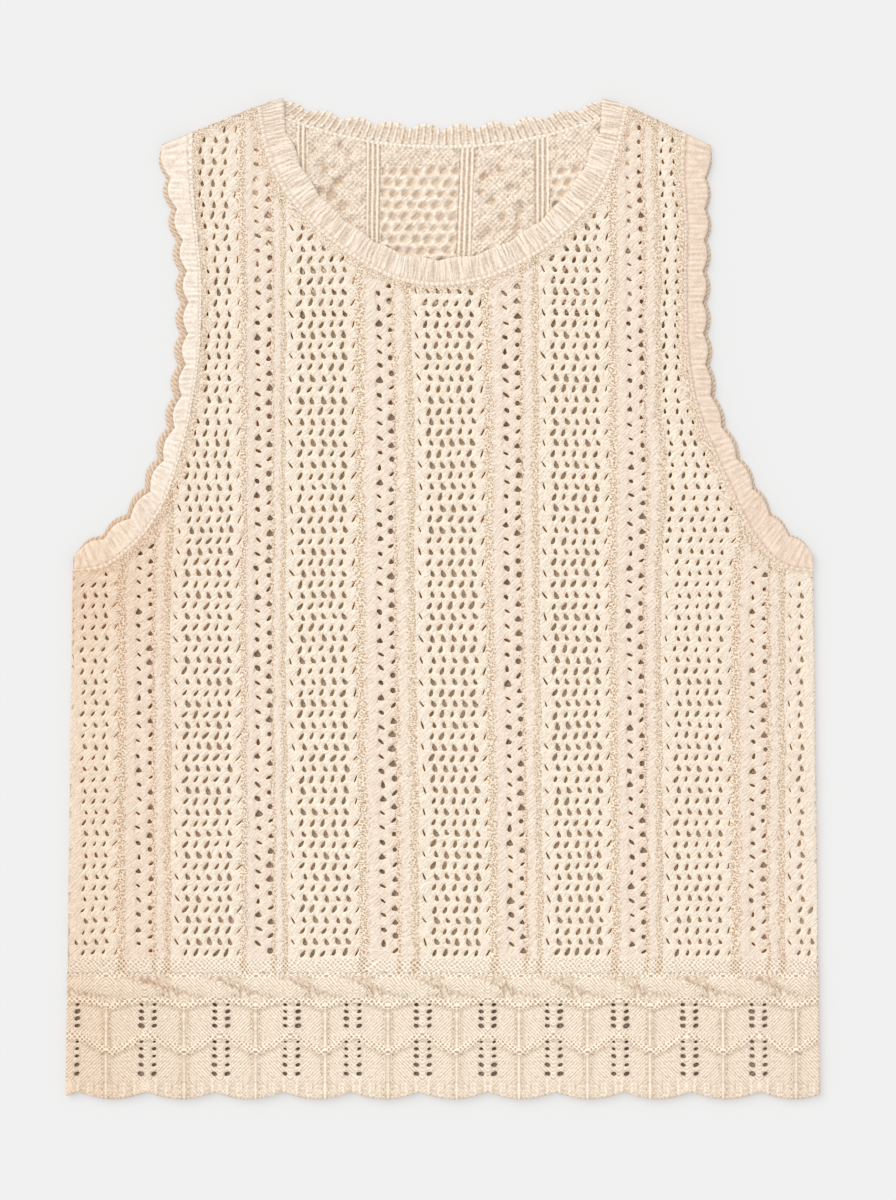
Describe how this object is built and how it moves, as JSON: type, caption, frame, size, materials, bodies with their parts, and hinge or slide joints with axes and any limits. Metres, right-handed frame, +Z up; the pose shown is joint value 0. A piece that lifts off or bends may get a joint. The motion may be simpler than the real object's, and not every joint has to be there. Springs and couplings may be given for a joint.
{
  "type": "crochet top",
  "caption": "Sleeveless lace-knit top with a round neck, scalloped rib bands and a scalloped hem border, laid flat.",
  "frame": {"origin": "on the surface the top lies on, under the middle of the garment", "axes": "+X across the garment, +Y from the hem to the neck, +Z up from the surface to the front panel"},
  "size_m": [0.422, 0.5606, 0.0058],
  "materials": {
    "lace_knit": "matte cream cotton lace knit",
    "rib_trim": "matte cream cotton rib with scalloped edge"
  },
  "bodies": {
    "root": {"back_panel": "lace_knit", "front_panel": "lace_knit", "hem_border_back": "lace_knit", "hem_border_front": "lace_knit", "neck_band_back": "rib_trim", "neck_band_front": "rib_trim", "armhole_band_back_left": "rib_trim", "armhole_band_back_right": "rib_trim", "armhole_band_front_left": "rib_trim", "armhole_band_front_right": "rib_trim"}
  },
  "joints": []
}
